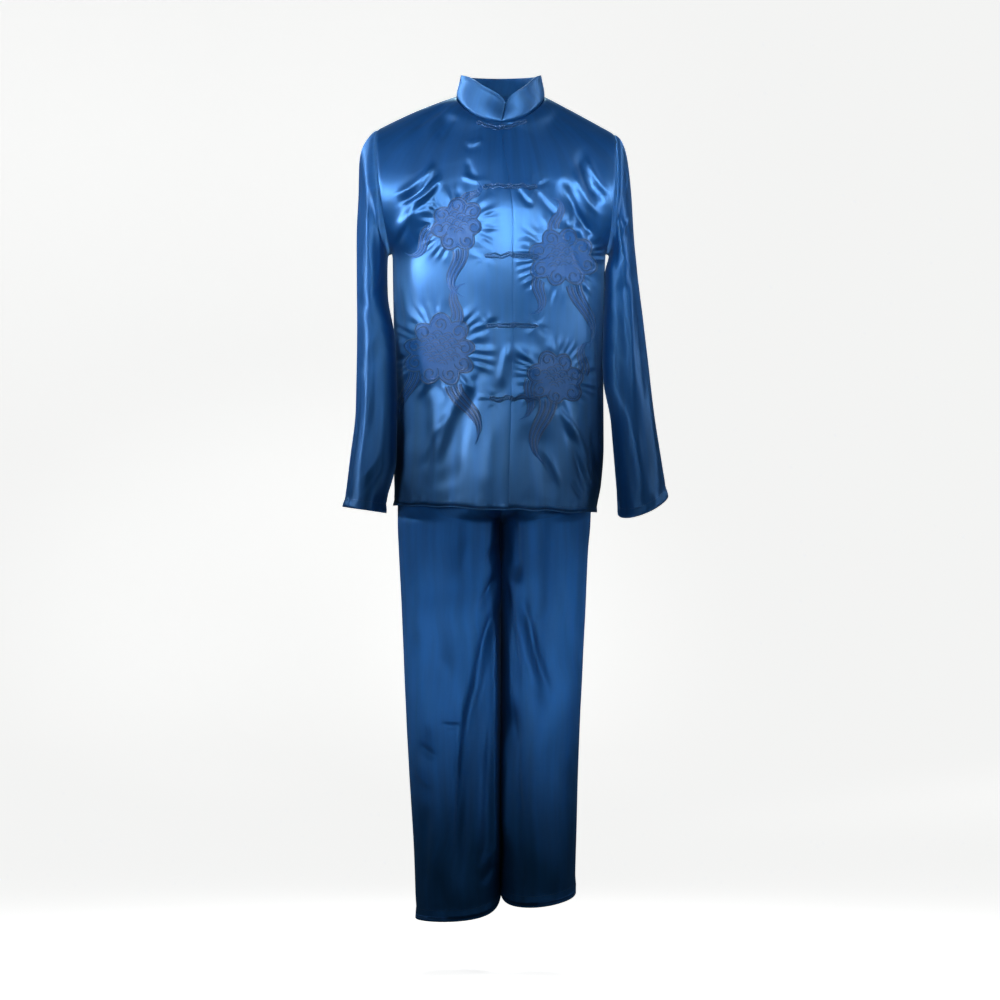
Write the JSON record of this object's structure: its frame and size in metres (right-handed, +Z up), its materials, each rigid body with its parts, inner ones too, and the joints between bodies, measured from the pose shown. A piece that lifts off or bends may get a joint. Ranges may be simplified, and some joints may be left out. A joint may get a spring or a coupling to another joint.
{
  "type": "kung fu uniform",
  "caption": "Worn two-piece kung fu uniform in satin: a hip-length jacket with a stand collar, long sleeves and frog fastenings, and straight trousers.",
  "frame": {"origin": "between the shoulders, level with the sides of the neck, where the wearer holds the suit up", "axes": "+Z up, the front faces -Y, and -X is the wearer's right"},
  "size_m": [0.561, 0.2871, 1.4735],
  "materials": {
    "jacket_satin": "glossy satin",
    "trouser_satin": "glossy satin",
    "frog_cord": "satin cord"
  },
  "bodies": {
    "root": {"front_right": "jacket_satin", "front_left": "jacket_satin", "back": "jacket_satin", "sleeve_right": "jacket_satin", "sleeve_left": "jacket_satin", "collar": "jacket_satin", "frog_1_right": "frog_cord", "frog_1_left": "frog_cord", "frog_1_knot": "frog_cord", "frog_2_right": "frog_cord", "frog_2_left": "frog_cord", "frog_2_knot": "frog_cord", "frog_3_right": "frog_cord", "frog_3_left": "frog_cord", "frog_3_knot": "frog_cord", "frog_4_right": "frog_cord", "frog_4_left": "frog_cord", "frog_4_knot": "frog_cord", "frog_5_right": "frog_cord", "frog_5_left": "frog_cord", "frog_5_knot": "frog_cord", "trouser_front_right": "trouser_satin", "trouser_front_left": "trouser_satin", "trouser_back_right": "trouser_satin", "trouser_back_left": "trouser_satin", "waistband": "trouser_satin"}
  },
  "joints": []
}
